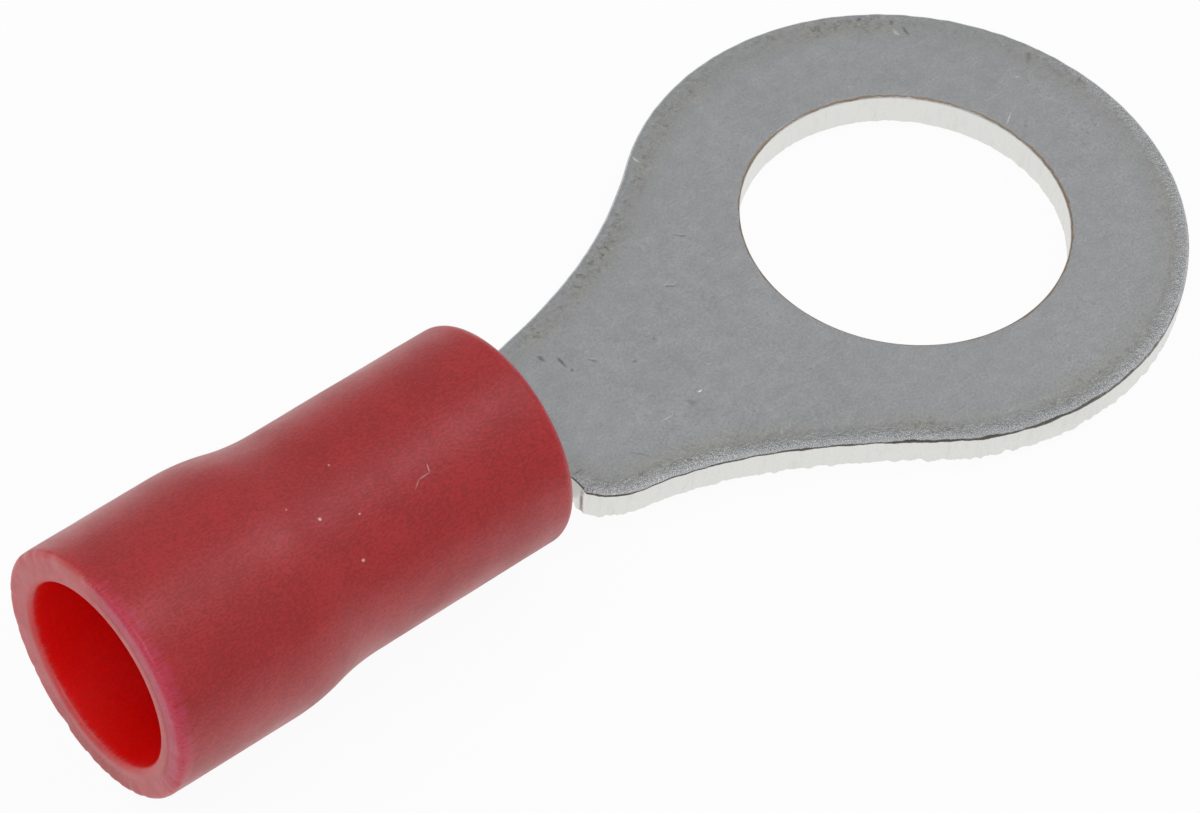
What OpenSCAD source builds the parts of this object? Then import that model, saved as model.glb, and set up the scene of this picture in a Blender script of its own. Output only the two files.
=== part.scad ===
// Insulated ring terminal: a flat ring tongue and a rolled wire barrel stamped from one
// tinned copper sheet, with a stepped PVC sleeve pushed over the barrel.
// X runs from the wire entry towards the ring, Z is up. The origin is the centre of the
// stud hole on the tongue's contact face.

/* [Tongue] */
// Diameter of the stud hole, a clearance hole for an M6 stud
hole_d = 6.4; // [4.3:0.1:8]
// Outer diameter of the ring
ring_d = 11; // [10:0.1:14]
// Thickness of the sheet, which the barrel's wall shares
sheet_t = 0.7; // [0.5:0.05:0.9]
// Width that the concave sides narrow the tongue to
waist_w = 3.86; // [3.4:0.02:4.8]
// Radius of the concave sides
side_r = 12; // [9:0.5:16]
// From the stud hole's centre back to the shoulders' rear edges
shoulder_x = 9.5; // [8.9:0.01:9.8]
// Radius of the shoulders' corners
shoulder_r = 1.4; // [1.1:0.05:1.6]
// How far the rear edges cut the corners' arcs short
shoulder_trim = 0.25; // [0.1:0.01:0.35]
// Width of the neck between the shoulders and the barrel
neck_w = 2.3; // [1.8:0.05:2.6]
// From the stud hole's edge back to where the tongue starts to climb
climb_gap = 0.3; // [0.2:0.1:1]
// How far the tongue climbs to run into the underside of the barrel
tongue_rise = 0.25; // [0.1:0.01:0.5]
// Die roll on the tongue's outer edge, where the punch drew the sheet down
edge_roll = 0.1; // [0.06:0.01:0.2]
// Die roll on the stud hole's edge
hole_roll = 0.08; // [0.04:0.01:0.14]

/* [Wire barrel] */
// Inner diameter of the barrel
barrel_id = 1.8; // [1.5:0.05:2.2]
// Length of the barrel
barrel_len = 4.8; // [4:0.1:6]
// From the stud hole's centre back to the barrel's front end
barrel_x = 10.3; // [10.2:0.05:11]
// Gap of the butt seam along the top of the barrel
seam_gap = 0.06; // [0.04:0.01:0.2]
// Width of the lead-in chamfer round the barrel's rear mouth
lead_in = 0.15; // [0.05:0.05:0.3]
// Number of grip grooves rolled into the bore
groove_count = 3; // [1:1:4]
// Depth of a grip groove
groove_depth = 0.06; // [0.04:0.01:0.1]
// Width of a grip groove
groove_w = 0.3; // [0.2:0.05:0.4]

/* [Sleeve] */
// Length of the sleeve
sleeve_len = 9.4; // [8:0.1:12]
// How far the sleeve's front end sits behind the barrel's front end
sleeve_setback = 0.1; // [0:0.05:0.5]
// Thickness of the sleeve's wall
sleeve_wall = 0.65; // [0.4:0.05:0.9]
// Radial play between the barrel and the sleeve
sleeve_play = 0.02; // [0.01:0.01:0.05]
// Inner diameter of the wire entry
entry_id = 3.74; // [3.5:0.02:4.4]
// Length of the wire entry, up to the step
entry_len = 2.9; // [2:0.1:4]
// Length of the smooth step down to the barrel
step_len = 2.1; // [1.2:0.1:3]
// Rounding of the wire entry's rims
entry_round = 0.12; // [0.05:0.01:0.2]
// Rounding of the sleeve's front outer rim
front_round = 0.3; // [0.1:0.05:0.35]

/* [Hidden] */
$fn = 96;
over = 1;                // how far a cutter runs past what it cuts

hole_r = hole_d / 2;
ring_r = ring_d / 2;
neck_hw = neck_w / 2;

// A concave side is tangent to the ring from outside, so its centre lies
// ring_r + side_r from the origin, and side_r + half the waist from the X axis.
side_cy = waist_w / 2 + side_r;
side_cx = -sqrt(pow(ring_r + side_r, 2) - pow(side_cy, 2));
tangent_a = atan2(side_cy, side_cx); // direction of the point where the ring meets the side
tangent_pt = ring_r * [cos(tangent_a), sin(tangent_a)];

// A shoulder's corner is tangent to the concave side, and its arc would reach
// shoulder_trim past the rear edge.
corner_cx = shoulder_r - shoulder_x - shoulder_trim;
corner_cy = side_cy - sqrt(pow(side_r + shoulder_r, 2) - pow(corner_cx - side_cx, 2));
corner_a = atan2(corner_cy - side_cy, corner_cx - side_cx);
corner_pt = [side_cx, side_cy] + side_r * [cos(corner_a), sin(corner_a)];
side_sweep = tangent_a - 180 - corner_a;
corner_sweep = -corner_a;

// A die roll of depth q is an arc through the points q down the side and q in along the
// top. It is a little flatter than a quarter circle, so it meets both at a slant.
roll_slant = 13;
function roll_c(q) = q * cos(roll_slant) / (cos(roll_slant) - sin(roll_slant));
function roll_arc_r(q) = roll_c(q) / cos(roll_slant);
roll_run = 0.06;                     // how far the wedge runs on past the sheet
roll_steps = 5;
ring_steps = 36;
side_steps = 8;
corner_steps = 8;

barrel_ri = barrel_id / 2;
barrel_ro = barrel_ri + sheet_t;
barrel_rm = barrel_ri + sheet_t / 2;
axis_h = tongue_rise + barrel_ro;    // height of the barrel's axis above the contact face
groove_pitch = barrel_len / (groove_count + 1);

neck_len = 0.1;                      // flat part of the neck, behind the shoulders
bend_x0 = shoulder_x + neck_len;     // where the neck starts to roll up
climb_x0 = hole_r + climb_gap;       // where the tongue starts to climb
climb_len = -corner_cx - climb_x0;   // it has climbed by the shoulders' corners
bend_embed = 0.2;                    // how far the bend runs on inside the barrel's wall
bend_skin = 0.02;                    // how far it then lies below the wall's surfaces
bend_steps = 14;                     // sections along the bend
bend_cols = 16;                      // strips across the bend

sleeve_x = barrel_x + sleeve_setback;
bore_r = barrel_ro + sleeve_play;
entry_r = entry_id / 2;
step_y = sleeve_len - entry_len - step_len;

// Radius of the two equal arcs that join two levels rise apart over a run, and the height
// that they have reached s into it
function climb_r(rise, run) = (pow(run, 2) + pow(rise, 2)) / (4 * rise);
function arc_drop(r, s) = r - sqrt(pow(r, 2) - pow(s, 2));
function climbed(rise, run, s) =
    s <= 0 ? 0
    : s < run / 2 ? arc_drop(climb_r(rise, run), s)
    : s < run ? rise - arc_drop(climb_r(rise, run), run - s)
    : rise;

// Area between the Y axis and a line at distance low from it, which moves out by rise over
// a run along Y
module climbing_area(low, rise, before, run, after) {
    half = run / 2;
    arc_r = climb_r(rise, run);
    square([low, before + half]);
    translate([0, before]) difference() {
        square([low + rise / 2, half]);
        translate([low + arc_r, 0]) circle(arc_r);
    }
    translate([0, before + half]) intersection() {
        square([low + rise, half]);
        translate([low + rise - arc_r, half]) circle(arc_r);
    }
    translate([0, before + run]) square([low + rise, after]);
}

// Outline of the tongue from above. The sides are bitten out of a straight-edged blank.
module tongue_outline() {
    difference() {
        union() {
            circle(ring_r);
            difference() {
                polygon([
                    [0, 0], tangent_pt, corner_pt, [corner_cx, corner_cy],
                    [-shoulder_x, corner_cy], [-shoulder_x, -corner_cy],
                    [corner_cx, -corner_cy], [corner_pt[0], -corner_pt[1]],
                    [tangent_pt[0], -tangent_pt[1]]
                ]);
                for (s = [-1, 1]) translate([side_cx, s * side_cy]) circle(side_r);
            }
            for (s = [-1, 1]) translate([corner_cx, s * corner_cy]) circle(shoulder_r);
        }
        circle(hole_r);
        translate([-shoulder_x - over, -ring_r]) square([over, ring_d]);
    }
}

// The tongue's sheet in section along its length, flat under the ring and then climbing to
// the level of the barrel's underside. X is up and Y runs back.
module sheet_section() {
    translate([-over, -ring_r - over]) difference() {
        sheet_area(over + sheet_t);
        sheet_area(over);
    }
}
module sheet_area(low) {
    climbing_area(low, tongue_rise, ring_r + over + climb_x0, climb_len, shoulder_r + over);
}

// The same outline as points, from the rear of one shoulder round the ring to the other,
// set in by d. All its arcs are concentric with the real ones, so they stay tangent. No
// point lies where two arcs meet.
function dir(a) = [cos(a), sin(a)];
function half_outline(d) = concat(
    [for (i = [0 : ring_steps]) (ring_r - d) * dir(tangent_a * i / (ring_steps + 0.5))],
    [for (i = [0.5 : side_steps])
        [side_cx, side_cy] + (side_r + d) * dir(tangent_a - 180 - side_sweep * i / side_steps)],
    [for (i = [0.5 : corner_steps])
        [corner_cx, corner_cy]
            + (shoulder_r - d) * dir(180 - corner_sweep * (1 - i / corner_steps))],
    [[corner_cx - shoulder_r + d, corner_cy]]
);
function outline(d) =
    let (h = half_outline(d))
    concat([for (i = [len(h) - 1 : -1 : 1]) [h[i][0], -h[i][1]]], h);

// What the die roll takes off the outer edge: a wedge with a hollow face, swept along the
// outline and climbing with the sheet. Its face meets the top and the side of the sheet at
// a slant, and has no corner on either.
module edge_roll_cut() {
    section = concat(
        [[-over, sheet_t + over], [-over, sheet_t - edge_roll - roll_run],
         [-roll_run * tan(roll_slant), sheet_t - edge_roll - roll_run]],
        [for (i = [0 : roll_steps - 1])
            let (a = 180 - roll_slant - (90 - 2 * roll_slant) * (i + 0.5) / roll_steps)
            [roll_c(edge_roll), sheet_t - roll_c(edge_roll)] + roll_arc_r(edge_roll) * dir(a)],
        [[edge_roll + roll_run, sheet_t + roll_run * tan(roll_slant)],
         [edge_roll + roll_run, sheet_t + over]]
    );
    rings = [
        for (p = section) [
            for (q = outline(p[0]))
                [q[0], q[1], p[1] + climbed(tongue_rise, climb_len, -q[0] - climb_x0)]
        ]
    ];
    n = len(rings[0]);
    k = len(section);
    walls = [
        for (j = [0 : k - 1]) for (i = [0 : n - 2])
            let (a = j * n + i, b = (j + 1) % k * n + i)
            each [[a, a + 1, b], [b, a + 1, b + 1]]
    ];
    start = [for (j = [0 : k - 1]) j * n];
    end = [for (j = [0 : k - 1]) (k - j) % k * n + n - 1];
    polyhedron([for (r = rings) each r], concat([start, end], walls));
}

// What the die roll takes off the stud hole's upper edge
module hole_roll_cut() {
    rotate_extrude() {
        translate([0, sheet_t]) square([hole_r + hole_roll, over]);
        difference() {
            translate([0, sheet_t - hole_roll]) square([hole_r + hole_roll, hole_roll]);
            translate([hole_r + roll_c(hole_roll), sheet_t - roll_c(hole_roll)])
                circle(roll_arc_r(hole_roll));
        }
    }
}

module tongue() {
    difference() {
        intersection() {
            translate([0, 0, -over]) linear_extrude(sheet_t + tongue_rise + 2 * over)
                tongue_outline();
            rotate([90, -90, 0]) linear_extrude(ring_d + 2 * over, center = true)
                sheet_section();
        }
        edge_roll_cut();
        hole_roll_cut();
    }
}

module neck() {
    translate([-bend_x0, -neck_hw, tongue_rise])
        cube([bend_x0 + corner_cx, neck_w, sheet_t]);
}

// One section of the bend, f from 0 at the flat neck to 1 at the barrel. The sheet keeps
// its developed width, while its curvature grows to the barrel's.
function ease(f) = f * f * (3 - 2 * f);
function bend_pt(f, u, side) =
    let (
        k = ease(f) / barrel_rm,
        a = u * k * 180 / PI,
        n = side * (sheet_t / 2 - bend_skin * ease(f)),
        z0 = tongue_rise + sheet_t / 2,
        y = k > 0 ? sin(a) / k : u,
        z = k > 0 ? (1 - cos(a)) / k : 0
    ) [y - n * sin(a), z0 + z + n * cos(a)];

module bend() {
    cols = bend_cols + 1;
    row = 2 * cols;
    rows = bend_steps + 2;
    us = [for (i = [0 : bend_cols]) neck_w * (i / bend_cols - 0.5)];
    xs = [
        for (j = [0 : bend_steps]) -bend_x0 - (barrel_x - bend_x0) * j / bend_steps,
        -barrel_x - bend_embed
    ];
    pts = [
        for (j = [0 : rows - 1])
            let (f = min(1, j / bend_steps))
            for (side = [-1, 1])
                for (i = [0 : bend_cols])
                    let (p = bend_pt(f, side * us[i], side)) [xs[j], p[0], p[1]]
    ];
    walls = [
        for (j = [0 : rows - 2]) for (i = [0 : row - 1])
            let (a = j * row + i, b = j * row + (i + 1) % row)
            each [[a, a + row, b], [b, a + row, b + row]]
    ];
    last = (rows - 1) * row;
    ends = [
        for (i = [0 : bend_cols - 1])
            let (q = [i, i + 1, row - 2 - i, row - 1 - i])
            each [q, [for (v = [3 : -1 : 0]) last + q[v]]]
    ];
    polyhedron(pts, concat(ends, walls));
}

// Lies along -X with its front end at the origin
module along_wire() {
    rotate([0, -90, 0]) children();
}

module barrel() {
    grooves = [
        for (i = [1 : groove_count])
            let (y = i * groove_pitch)
            each [
                [barrel_ri, y - groove_w / 2], [barrel_ri + groove_depth, y - groove_w / 4],
                [barrel_ri + groove_depth, y + groove_w / 4], [barrel_ri, y + groove_w / 2]
            ]
    ];
    translate([-barrel_x, 0, axis_h]) difference() {
        along_wire() rotate_extrude() polygon(concat(
            [[barrel_ro, 0], [barrel_ri, 0]],
            grooves,
            [[barrel_ri, barrel_len - lead_in], [barrel_ri + lead_in, barrel_len],
             [barrel_ro, barrel_len]]
        ));
        translate([-barrel_len - over, -seam_gap / 2, 0])
            cube([barrel_len + 2 * over, seam_gap, barrel_ro + over]);
    }
}

module terminal() {
    color("silver") {
        tongue();
        neck();
        bend();
        barrel();
    }
}

// What rounds off a corner that points up and to the right, with its tip at the origin
module corner_cut(r) {
    difference() {
        translate([-r, -r]) square(r + over);
        translate([-r, -r]) circle(r);
    }
}

module insulating_sleeve() {
    color("firebrick")
        translate([-sleeve_x, 0, axis_h]) along_wire() rotate_extrude() difference() {
            climbing_area(bore_r + sleeve_wall, entry_r - bore_r, step_y, step_len, entry_len);
            climbing_area(bore_r, entry_r - bore_r, step_y, step_len, entry_len);
            translate([entry_r + sleeve_wall, sleeve_len]) corner_cut(entry_round);
            translate([entry_r, sleeve_len]) mirror([1, 0]) corner_cut(entry_round);
            translate([bore_r + sleeve_wall, 0]) mirror([0, 1]) corner_cut(front_round);
        }
}

terminal();
insulating_sleeve();
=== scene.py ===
# Insulated ring terminal: a ring tongue and rolled barrel stamped from tinned copper sheet,
# in a stepped red PVC sleeve. Meshes are made in millimetres and scaled to metres at the end.
import math
import bmesh
import bpy
from mathutils import Matrix, Vector, noise


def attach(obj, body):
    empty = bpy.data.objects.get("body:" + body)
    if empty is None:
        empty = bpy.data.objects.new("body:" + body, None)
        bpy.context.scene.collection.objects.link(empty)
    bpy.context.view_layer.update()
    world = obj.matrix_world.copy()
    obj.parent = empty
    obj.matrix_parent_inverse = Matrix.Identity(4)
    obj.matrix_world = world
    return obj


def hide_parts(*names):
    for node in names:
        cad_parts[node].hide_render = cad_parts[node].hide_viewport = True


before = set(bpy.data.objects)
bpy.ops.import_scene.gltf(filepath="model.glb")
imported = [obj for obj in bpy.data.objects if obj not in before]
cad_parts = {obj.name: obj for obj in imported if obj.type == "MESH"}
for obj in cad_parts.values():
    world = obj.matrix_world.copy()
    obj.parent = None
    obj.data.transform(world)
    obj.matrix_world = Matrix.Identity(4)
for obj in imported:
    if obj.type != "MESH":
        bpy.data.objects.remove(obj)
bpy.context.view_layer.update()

metresPerMm = 0.001
upright = Vector((0, 0, 1))
weldDistance = 0.0005

cameraView = {
    "spot": (-65.264, -56.095, 94.275),   # mm
    "aim": (-7.807, -0.019, 0.7),
    "roll": 6.38,
    "lens": 198.05,
    "clipStart": 0.005,                    # m
}

camera = bpy.data.objects.new("camera", bpy.data.cameras.new("camera"))
bpy.context.scene.collection.objects.link(camera)
bpy.context.scene.camera = camera
camera.data.lens = cameraView["lens"]
camera.data.sensor_fit = "HORIZONTAL"
camera.data.clip_start = cameraView["clipStart"]
cameraSpot = Vector(cameraView["spot"]) * metresPerMm
cameraLook = Vector(cameraView["aim"]) * metresPerMm - cameraSpot
cameraTurn = cameraLook.to_track_quat("-Z", "Y").to_matrix().to_4x4()
cameraRoll = Matrix.Rotation(math.radians(cameraView["roll"]), 4, "Z")
camera.matrix_world = Matrix.Translation(cameraSpot) @ cameraTurn @ cameraRoll
bpy.context.scene.view_settings.view_transform = "Standard"
print("camera placed")


def drawArc(bm, vert, centre, axis, degrees, count):
    # Draws an arc on from a vertex and gives back its last vertex.
    drawn = bmesh.ops.spin(
        bm, geom=[vert], cent=centre, axis=axis, dvec=(0, 0, 0),
        angle=math.radians(degrees), steps=count, use_merge=False, use_duplicate=False)
    return [g for g in drawn["geom_last"] if isinstance(g, bmesh.types.BMVert)][0]


def drawLine(bm, vert, move, count):
    # Draws a straight run on from a vertex in equal parts and gives back its last vertex.
    drawn = bmesh.ops.spin(
        bm, geom=[vert], cent=(0, 0, 0), axis=upright, dvec=Vector(move) / count,
        angle=0, steps=count, use_merge=False, use_duplicate=False)
    return [g for g in drawn["geom_last"] if isinstance(g, bmesh.types.BMVert)][0]


def extrudeRows(bm, edges, moves):
    # Extrudes a run of edges once for each move and gives back the last run.
    for move in moves:
        grown = bmesh.ops.extrude_edge_only(bm, edges=edges)["geom"]
        verts = [g for g in grown if isinstance(g, bmesh.types.BMVert)]
        edges = [g for g in grown if isinstance(g, bmesh.types.BMEdge)]
        bmesh.ops.translate(bm, vec=move, verts=verts)
    return edges


def smoothStep(low, high, value):
    t = min(1, max(0, (value - low) / (high - low)))
    return t * t * (3 - 2 * t)


def finishPiece(bm, name, material, sharpAngle):
    bmesh.ops.recalc_face_normals(bm, faces=bm.faces[:])
    for face in bm.faces:
        face.smooth = True
    for edge in bm.edges:
        edge.smooth = edge.calc_face_angle(0) < math.radians(sharpAngle)
    bmesh.ops.scale(bm, vec=(metresPerMm,) * 3, verts=bm.verts[:])
    mesh = bpy.data.meshes.new(name)
    bm.to_mesh(mesh)
    bm.free()
    mesh.materials.append(material)
    piece = bpy.data.objects.new(name, mesh)
    bpy.context.scene.collection.objects.link(piece)
    print(name, "built,", len(mesh.polygons), "faces")
    return piece


def linearColour(hexColour):
    parts = [int(hexColour[i:i + 2], 16) / 255 for i in (1, 3, 5)]
    return [p / 12.92 if p <= 0.04045 else ((p + 0.055) / 1.055) ** 2.4 for p in parts] + [1]


def addNode(tree, kind, settings={}, links={}):
    # Settings that name a property go to the node, and the rest go to its sockets.
    node = tree.nodes.new(kind)
    for key, value in settings.items():
        if isinstance(key, str) and hasattr(node, key):
            setattr(node, key, value)
    for key, value in settings.items():
        if not (isinstance(key, str) and hasattr(node, key)):
            node.inputs[key].default_value = value
    for key, source in links.items():
        tree.links.new(source, node.inputs[key])
    return node


def newMaterial(name):
    material = bpy.data.materials.new(name)
    material.use_nodes = True
    material.node_tree.nodes.clear()
    return material, material.node_tree


# Tinned copper: electro-tinned sheet with a matte finish, stamped and rolled. It is a mid
# grey metal with a fine grain, rubbed and dirty towards its edges, with a coarse roll round
# the outside, a line of bare copper below it and a pale, tin-smeared shear face.
tinFinish = {
    "tin": "#C9CBCD",
    "tinRubbed": "#C0BFB9",
    # Brown of dirt, stains and pits, and of the painted shade along the waist's roll.
    "dirtAndShade": "#5C584E",
    "sheared": "#E2E2DF",
    "shearStreak": "#D6D3CC",
    "edgeLine": "#443324",
    "sideStain": "#76583C",
    # Near-white of fresh scratches, and of the painted glints on the roll.
    "scratchAndGlint": "#F4F2EC",
    "holeLine": "#94764E",
    "roughness": 0.42,
    "rollRoughness": 0.3,
    "shearRoughness": 0.32,
    "grainMm": 0.05,                # matte tin's grain is a tenth of this, too fine to show
    "rollGrainMm": 0.07,
    "mottleMm": 1.4,
    "blotchMm": 0.35,
    "wearMm": 0.09,                  # across the fine rub marks, which are four times as long
    "dirtMm": 0.13,
    "rubbedWidthMm": 0.9,
    "streakMm": 0.12,
    "edgeLineMm": 0.034,            # half widths of the two copper lines
    "holeLineMm": 0.022,
    "wanderMm": 0.35,               # how the lines stray, and change in width
    "thickMm": 1.1,
    "waistShadeLevel": 0.08,              # how much the roll is darkened and roughened along the waist, partly grime and partly painted shade
}

# The colour that each layer of the tin lays on.
tinLayers = {
    "dirtShare": "dirtAndShade",
    "stain": "dirtAndShade",
    "darkMark": "dirtAndShade",
    "lightMark": "scratchAndGlint",
    "sideMark": "sideStain",
    "edgeLine": "edgeLine",
    "holeLine": "holeLine",
    "glint": "scratchAndGlint",
    "waistGrimeAndShade": "dirtAndShade",
}

# Handling marks on the top face: x, y, half length and half width in mm, direction in
# degrees and strength. Dark ones are pits and scuffs, light ones are fresh scratches.
darkMarks = [
    (-8.07, 1.41, 0.11, 0.05, -96, 0.75),
    (-7.81, 1.13, 0.15, 0.045, -92, 0.85),
    (-7.79, 0.85, 0.05, 0.04, -97, 0.7),
    (-7.30, 0.78, 0.12, 0.035, -57, 0.5),
    (-6.67, 0.32, 0.05, 0.035, -71, 0.45),
    (-8.10, -1.50, 0.20, 0.03, -49, 0.4),
    (-6.48, -1.07, 0.14, 0.08, -81, 0.3),
    (-3.77, 2.30, 0.14, 0.03, -45, 0.45),
    (-4.80, 1.43, 0.12, 0.03, -32, 0.5),
    (-5.97, 0.57, 0.06, 0.035, -121, 0.4),
    (3.38, 3.69, 0.16, 0.035, -103, 0.7),
]
lightMarks = [
    (-3.14, 4.33, 0.11, 0.03, -89, 0.8),
    (3.41, 0.73, 0.14, 0.02, -147, 0.5),
    (4.30, 1.45, 0.05, 0.025, -37, 0.45),
    (-6.14, -0.94, 0.06, 0.025, 5, 0.7),
    (-5.54, -2.58, 0.09, 0.02, -123, 0.5),
    (-7.13, -1.11, 0.16, 0.02, -2, 0.25),
    (3.20, 3.78, 0.10, 0.04, -95, 0.7),
]
# A brown stain on the sheared side, up the corner behind the shoulder.
sideMarks = [(-9.50, -1.46, 0.04, 0.05, 0, 0.85)]


def markMask(tree, spot, warp, marks, height, depth):
    # The strongest of some soft-edged ellipses at one height in the space of spot.
    mask = None
    for x, y, halfLong, halfWide, angle, strength in marks:
        turned = addNode(tree, "ShaderNodeMapping",
                         {"vector_type": "TEXTURE", "Location": (x, y, height),
                          "Rotation": (0, 0, math.radians(angle)),
                          "Scale": (halfLong, halfWide, depth)}, {"Vector": spot})
        away = addNode(tree, "ShaderNodeVectorMath", {"operation": "LENGTH"},
                       {0: turned.outputs["Vector"]})
        ragged = addNode(tree, "ShaderNodeMath", {"operation": "MULTIPLY_ADD", 1: 1.2},
                         {0: warp, 2: away.outputs["Value"]})
        soft = addNode(tree, "ShaderNodeMapRange",
                       {"interpolation_type": "SMOOTHSTEP", "From Min": 0.8, "From Max": 2.1,
                        "To Min": strength, "To Max": 0}, {"Value": ragged.outputs[0]})
        if mask is None:
            mask = soft.outputs[0]
        else:
            mask = addNode(tree, "ShaderNodeMath", {"operation": "MAXIMUM"},
                           {0: mask, 1: soft.outputs[0]}).outputs[0]
    return mask


def makeTin():
    t = tinFinish
    edgeArc = blank["edgeRoll"] * math.pi / 2
    holeArc = blank["holeRoll"] * math.pi / 2
    material, tree = newMaterial("matteTinPlatedCopper")
    place = addNode(tree, "ShaderNodeTexCoord")
    mmPlace = addNode(tree, "ShaderNodeMapping", {"Scale": (1000, 1000, 1000)},
                      {"Vector": place.outputs["Object"]})
    spot = mmPlace.outputs["Vector"]
    wearPlace = addNode(tree, "ShaderNodeMapping",
                        {"Rotation": (0, 0, 0.5), "Scale": (0.25, 1, 1)}, {"Vector": spot})
    streakPlace = addNode(tree, "ShaderNodeMapping", {"Scale": (1, 1, 0.2)}, {"Vector": spot})
    edgeRun = addNode(tree, "ShaderNodeAttribute", {"attribute_name": "edgeRun"})
    holeRun = addNode(tree, "ShaderNodeAttribute", {"attribute_name": "holeRun"})
    planes = addNode(tree, "ShaderNodeSeparateXYZ", {}, {0: spot})

    # Every grey value gets a name: first what is read or made as noise, then ranges of those,
    # then products of the ranges.
    value = {"edgeRun": edgeRun.outputs["Fac"], "holeRun": holeRun.outputs["Fac"],
             "x": planes.outputs["X"], "y": planes.outputs["Y"], "z": planes.outputs["Z"]}
    for name, mm, detail, roughness, vector in (
            ("grain", t["grainMm"], 2, 0.6, spot),
            ("rollGrain", t["rollGrainMm"], 3, 0.7, spot),
            ("mottle", t["mottleMm"], 4, 0.6, spot),
            ("dirtNoise", t["dirtMm"], 4, 0.7, spot),
            ("fineWear", t["wearMm"], 3, 0.75, wearPlace.outputs["Vector"]),
            ("blotch", t["blotchMm"], 3, 0.6, spot),
            ("streak", t["streakMm"], 3, 0.7, streakPlace.outputs["Vector"]),
            ("wanderNoise", t["wanderMm"], 4, 0.6, spot),
            ("thickNoise", t["thickMm"], 4, 0.6, spot)):
        made = addNode(tree, "ShaderNodeTexNoise",
                       {"Scale": 1 / mm, "Detail": detail, "Roughness": roughness},
                       {"Vector": vector})
        value[name] = made.outputs["Fac"]

    # Name, source, its two limits, the value at each of them, and the way between.
    for name, source, low, high, atLow, atHigh, way in (
            ("nearSide", "y", -2, 3, 1, 0, "LINEAR"),
            ("topHalf", "z", 0.4, 0.5, 0, 1, "LINEAR"),
            ("rubInside", "edgeRun", -t["rubbedWidthMm"], -0.2, 0, 1, "SMOOTHSTEP"),
            ("rubPatches", "mottle", 0.3, 0.65, 0.1, 0.8, "LINEAR"),
            ("rubOutside", "edgeRun", -0.15, 0, 1, 0, "SMOOTHSTEP"),
            ("bandInside", "edgeRun", -0.55, -0.2, 0, 1, "SMOOTHSTEP"),
            ("bandOutside", "edgeRun", -0.1, 0.05, 1, 0.2, "SMOOTHSTEP"),
            ("dirtGrains", "dirtNoise", 0.5, 0.7, 0, 1, "LINEAR"),
            ("dirtPatches", "mottle", 0.36, 0.6, 0.1, 1, "LINEAR"),
            ("dirtStrength", "nearSide", 0, 1, 0.6, 0.3, "LINEAR"),
            ("stainGrains", "dirtNoise", 0.56, 0.72, 0, 0.22, "LINEAR"),
            ("stainPatches", "mottle", 0.5, 0.62, 0, 1, "LINEAR"),
            ("grainTone", "grain", 0.3, 0.7, 0.9, 1.08, "LINEAR"),
            ("mottleTone", "mottle", 0.3, 0.7, 0.96, 1.03, "LINEAR"),
            ("blotchTone", "blotch", 0.35, 0.65, 0.96, 1.03, "LINEAR"),
            ("wearLight", "fineWear", 0.58, 0.75, 1, 1.12, "LINEAR"),
            ("wearDark", "fineWear", 0.25, 0.4, 0.9, 1, "LINEAR"),
            ("onTop", "edgeRun", 0.02, 0.06, 1, 0, "LINEAR"),
            ("streakShare", "streak", 0.5, 0.8, 0, 0.6, "LINEAR"),
            ("edgeSide", "edgeRun", edgeArc, edgeArc + 0.02, 0, 1, "LINEAR"),
            ("holeSide", "holeRun", holeArc, holeArc + 0.02, 0, 1, "LINEAR"),
            ("wander", "wanderNoise", 0.3, 0.7, -0.02, 0.02, "LINEAR"),
            ("thick", "thickNoise", 0.36, 0.64, 0.45, 1.5, "LINEAR"),
            ("thickFrom", "x", -8.5, -2, 0.5, 1.35, "LINEAR"),
            ("rough", "grain", 0.3, 0.7, t["roughness"] - 0.05, t["roughness"] + 0.06, "LINEAR"),
            ("rollStart", "edgeRun", -0.06, 0.03, 0, 1, "SMOOTHSTEP"),
            ("rollEnd", "edgeRun", edgeArc, edgeArc + 0.03, 1, 0, "LINEAR"),
            ("coarseStart", "edgeRun", -0.3, 0.02, 0, 1, "SMOOTHSTEP"),
            ("coarseEnd", "edgeRun", edgeArc - 0.03, edgeArc + 0.01, 1, 0, "LINEAR"),
            ("coarseNear", "nearSide", 0.3, 0.8, 0.15, 1, "LINEAR"),
            ("shoulderBright", "x", -7, -5.6, 1, 0.2, "SMOOTHSTEP"),
            ("ringBright", "x", -1.5, 1, 0.2, 1, "SMOOTHSTEP"),
            ("glintGrains", "rollGrain", 0.6, 0.68, 0, 0.8, "LINEAR")):
        made = addNode(tree, "ShaderNodeMapRange",
                       {"interpolation_type": way, "From Min": low, "From Max": high,
                        "To Min": atLow, "To Max": atHigh}, {"Value": value[source]})
        value[name] = made.outputs[0]
    value["darkSpots"] = markMask(tree, spot, value["rollGrain"], darkMarks, 0.8, 0.3)
    value["lightSpots"] = markMask(tree, spot, value["rollGrain"], lightMarks, 0.8, 0.3)
    value["sideSpots"] = markMask(tree, spot, value["rollGrain"], sideMarks, 0.45, 0.4)
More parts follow.
